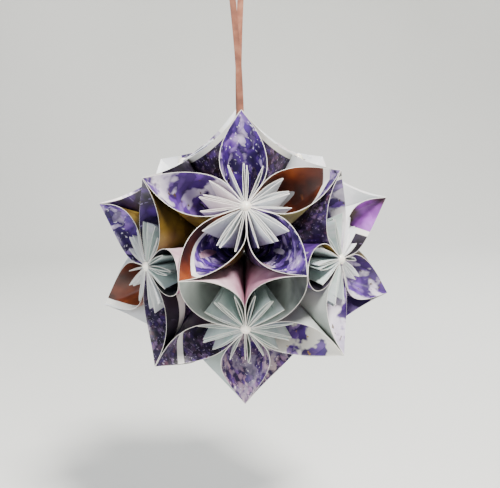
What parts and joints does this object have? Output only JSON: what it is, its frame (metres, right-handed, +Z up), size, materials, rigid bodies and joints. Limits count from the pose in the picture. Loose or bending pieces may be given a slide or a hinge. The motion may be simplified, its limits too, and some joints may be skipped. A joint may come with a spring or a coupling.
{
  "type": "kusudama paper ball",
  "caption": "Hanging ball of folded printed paper flowers with pearl beads in their centres and a satin ribbon loop.",
  "frame": {"origin": "The ball's centre, where the petals' points come together.", "axes": "+Z is up along the hanging ribbon and is a two-fold axis of the ball; -Y is the front; +X is to the right seen from the front."},
  "size_m": [0.1344, 0.1344, 0.2237],
  "materials": {
    "printed_paper": "glossy printed magazine page, violet and white print",
    "pleated_paper": "pale printed page, pleated",
    "pearl": "cream pearl coating",
    "ribbon": "dusty copper satin"
  },
  "bodies": {
    "root": {"flower_front_upper": "printed_paper", "flower_front_lower": "printed_paper", "flower_back_upper": "printed_paper", "flower_back_lower": "printed_paper", "flower_right_front": "printed_paper", "flower_left_front": "printed_paper", "flower_right_back": "printed_paper", "flower_left_back": "printed_paper", "flower_top_right": "printed_paper", "flower_top_left": "printed_paper", "flower_bottom_right": "printed_paper", "flower_bottom_left": "printed_paper", "stamens_front_upper": "pleated_paper", "stamens_front_lower": "pleated_paper", "stamens_back_upper": "pleated_paper", "stamens_back_lower": "pleated_paper", "stamens_right_front": "pleated_paper", "stamens_left_front": "pleated_paper", "stamens_right_back": "pleated_paper", "stamens_left_back": "pleated_paper", "stamens_top_right": "pleated_paper", "stamens_top_left": "pleated_paper", "stamens_bottom_right": "pleated_paper", "stamens_bottom_left": "pleated_paper", "bead_front_upper": "pearl", "bead_front_lower": "pearl", "bead_back_upper": "pearl", "bead_back_lower": "pearl", "bead_right_front": "pearl", "bead_left_front": "pearl", "bead_right_back": "pearl", "bead_left_back": "pearl", "bead_top_right": "pearl", "bead_top_left": "pearl", "bead_bottom_right": "pearl", "bead_bottom_left": "pearl", "ribbon_knot": "ribbon", "hanging_ribbon": "ribbon"}
  },
  "joints": []
}
